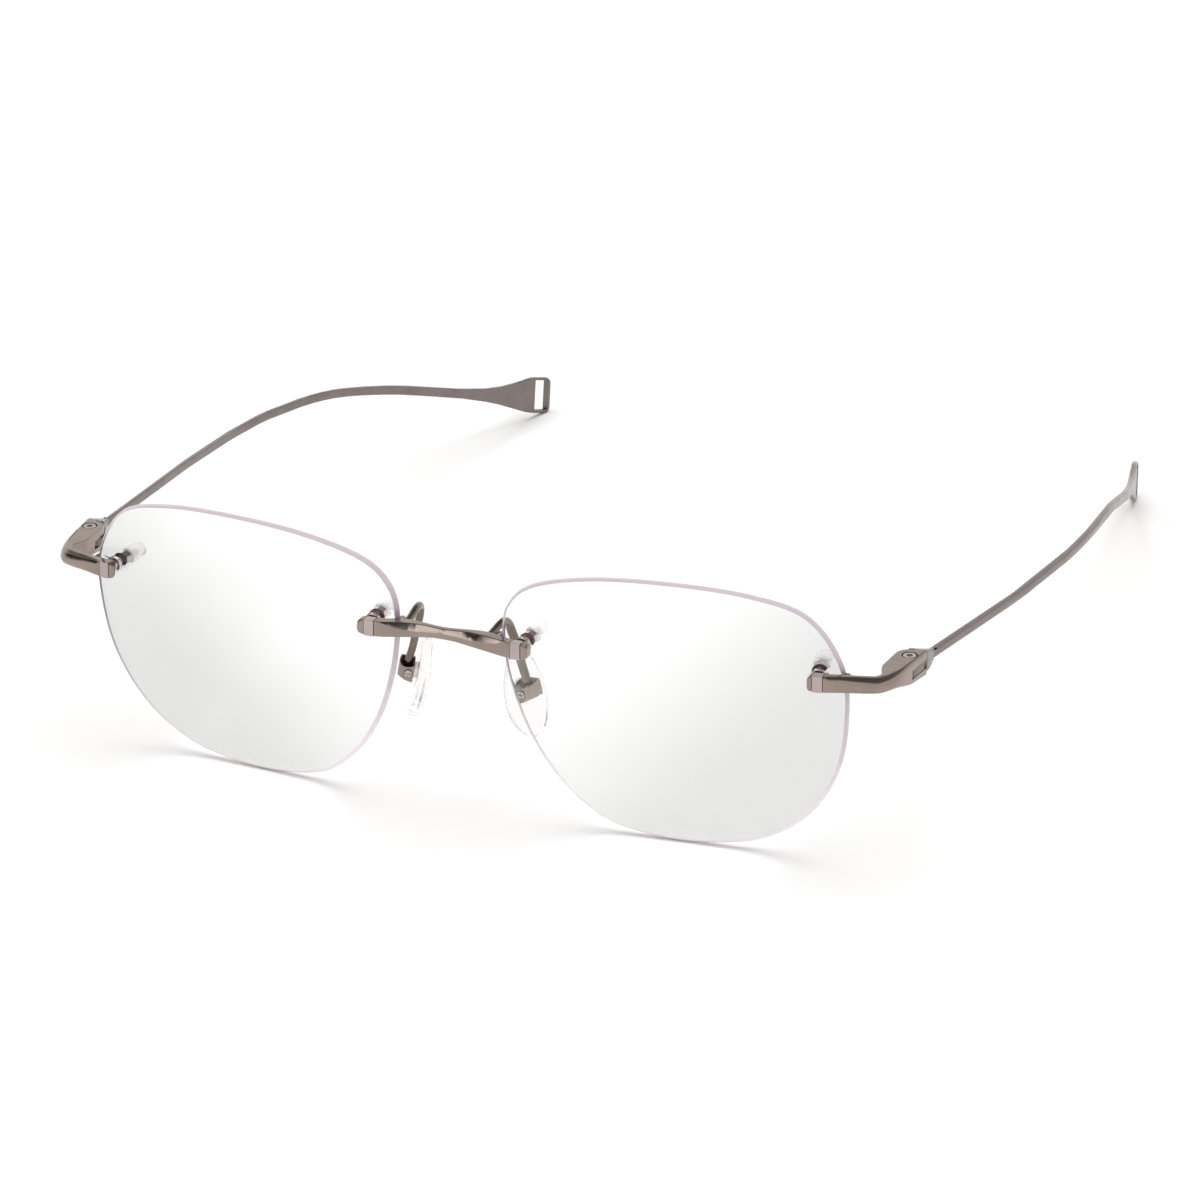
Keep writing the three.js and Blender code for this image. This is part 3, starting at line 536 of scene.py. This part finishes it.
def foot_ring(scale, depth):
    """Oval ring round the foot of the pad's mount."""
    ring = []
    for angle in circle_angles(PAD_SIDES):
        y = FOOT_CENTRE[0] + FOOT_RADII[0] * scale * math.cos(angle)
        z = FOOT_CENTRE[1] + FOOT_RADII[1] * scale * math.sin(angle)
        ring.append((PAD_BACK + depth, y, z))
    return ring


def make_pad(hand, side):
    dome = [math.radians(angle) for angle in PAD_DOME_ANGLES]
    rings = [
        *[pad_ring(math.sin(angle), -PAD_THICKNESS + PAD_DOME * (1 - math.cos(angle))) for angle in dome],
        *[pad_ring(scale, depth) for scale, depth in PAD_EDGE],
        *[foot_ring(scale, depth) for scale, depth in FOOT_WELL],
    ]
    front = (PAD_BACK - PAD_THICKNESS, *PAD_CENTRE)
    rear = (PAD_BACK - FOOT_DEPTH, *FOOT_CENTRE)
    name = f"nose_pad_{hand}_fine"
    piece = link(name, loft_mesh(name, rings, front, rear, PAD_FRAME, side))
    stand_for(piece, f"nose_pad_{hand}", "clear_plastic", PAD_PLASTIC)


# ---------------------------------------------------------------- all pieces

machined("bridge", "pewter_metal", PEWTER, PEWTER_POLISH)
for hand, side in SIDES:
    make_lens(hand, side)
    make_pad(hand, side)
    machined(f"endpiece_{hand}", "pewter_metal", PEWTER)
    machined(f"temple_{hand}", "temple_metal", TEMPLE)
    machined(f"hinge_screw_{hand}", "chrome_metal", SCREW, bevel=0.08)
    rounded(f"pad_arm_{hand}", "pewter_metal", ARM)
    machined(f"pad_box_{hand}", "pewter_metal", PEWTER)
    machined(f"pad_screw_{hand}", "chrome_metal", SCREW, bevel=0.03)
    machined(f"pad_mount_{hand}", "chrome_metal", CHROME, bevel=0.03)
    for mount in ("bridge", "endpiece"):
        machined(f"{mount}_band_{hand}", "band_metal", BAND)
        rounded(f"{mount}_stud_{hand}", "chrome_metal", CHROME)
        rounded(f"{mount}_rear_washer_{hand}", "chrome_metal", WASHER_DARK_REFLECTION)
        machined(f"{mount}_hex_nut_{hand}", "chrome_metal", CHROME, bevel=0.06, angle=30)
        rounded(f"{mount}_stud_cap_{hand}", "clear_plastic", CAP_PLASTIC)


# ---------------------------------------------------------------- stage

def make_floor():
    corners = [(-1, -1), (1, -1), (1, 1), (-1, 1)]
    mesh = bpy.data.meshes.new("floor")
    mesh.from_pydata([(x * FLOOR_REACH, y * FLOOR_REACH, 0) for x, y in corners], [], [(0, 1, 2, 3)])
    floor = link("floor", mesh)
    material, _, _ = new_material("floor", Base_Color=FLOOR_COLOR, Roughness=0.9)
    mesh.materials.append(material)


def color_ramp(tree, value, stops):
    """Warm grey levels along a value, each stop a position and a brightness."""
    made = add_node(tree, "ShaderNodeValToRGB", {"Fac": value})
    elements = made.color_ramp.elements
    while len(elements) < len(stops):
        elements.new(0.5)
    for element, (position, level) in zip(elements, stops):
        element.position = position
        element.color = (*[level * part for part in WARMTH], 1)
    return made.outputs[0]


def make_world():
    """Bright walls under a dim ceiling, a bright panel high at the front left, a dark flag at the left."""
    world = bpy.data.worlds.new("studio")
    world.use_nodes = True
    tree = world.node_tree
    direction = add_node(tree, "ShaderNodeTexCoord").outputs["Generated"]
    height = add_node(tree, "ShaderNodeSeparateXYZ", {"Vector": direction}).outputs["Z"]

    def towards(place, reach):
        along = add_node(tree, "ShaderNodeVectorMath", {0: direction, 1: place}, operation="DOT_PRODUCT")
        return map_range(tree, along.outputs["Value"], reach, interpolation_type="SMOOTHSTEP")

    def mixed(factor, first, second):
        made = add_node(tree, "ShaderNodeMix", {"Factor": factor, 6: first, 7: second}, data_type="RGBA")
        return made.outputs[2]

    walls = color_ramp(tree, height, WALL_LEVELS)
    panel = color_ramp(tree, height, PANEL_LEVELS)
    lit = mixed(towards(PANEL_PLACE, PANEL_REACH), walls, panel)
    flagged = mixed(towards(FLAG_PLACE, FLAG_REACH), lit, FLAG_COLOR)
    background = tree.nodes["Background"]
    tree.links.new(flagged, background.inputs["Color"])
    background.inputs["Strength"].default_value = 1
    bpy.context.scene.world = world


def make_lamp():
    """Large soft lamp overhead and a little behind. The metal mirrors the ceiling, not the lamp."""
    data = bpy.data.lights.new("softbox", "SUN")
    data.energy = LAMP_IRRADIANCE
    data.angle = LAMP_WIDTH
    lamp = bpy.data.objects.new("softbox", data)
    bpy.context.scene.collection.objects.link(lamp)
    lamp.rotation_euler = LAMP_LEAN.to_track_quat("Z", "Y").to_euler()
    lamp.visible_glossy = False


def make_camera():
    data = bpy.data.cameras.new("camera")
    data.lens = CAMERA_LENS
    data.sensor_width = CAMERA_SENSOR
    data.clip_start = 0.01
    camera = bpy.data.objects.new("camera", data)
    bpy.context.scene.collection.objects.link(camera)
    level = math.cos(CAMERA_ELEVATION)
    back = Vector((math.sin(CAMERA_AZIMUTH) * level, -math.cos(CAMERA_AZIMUTH) * level,
                   math.sin(CAMERA_ELEVATION)))
    camera.location = DESIGN @ (Vector(CAMERA_TARGET) + back * CAMERA_DISTANCE)
    camera.rotation_euler = (-back).to_track_quat("-Z", "Y").to_euler()
    bpy.context.scene.camera = camera


make_floor()
make_world()
make_lamp()
make_camera()
bpy.context.scene.view_settings.view_transform = "Standard"
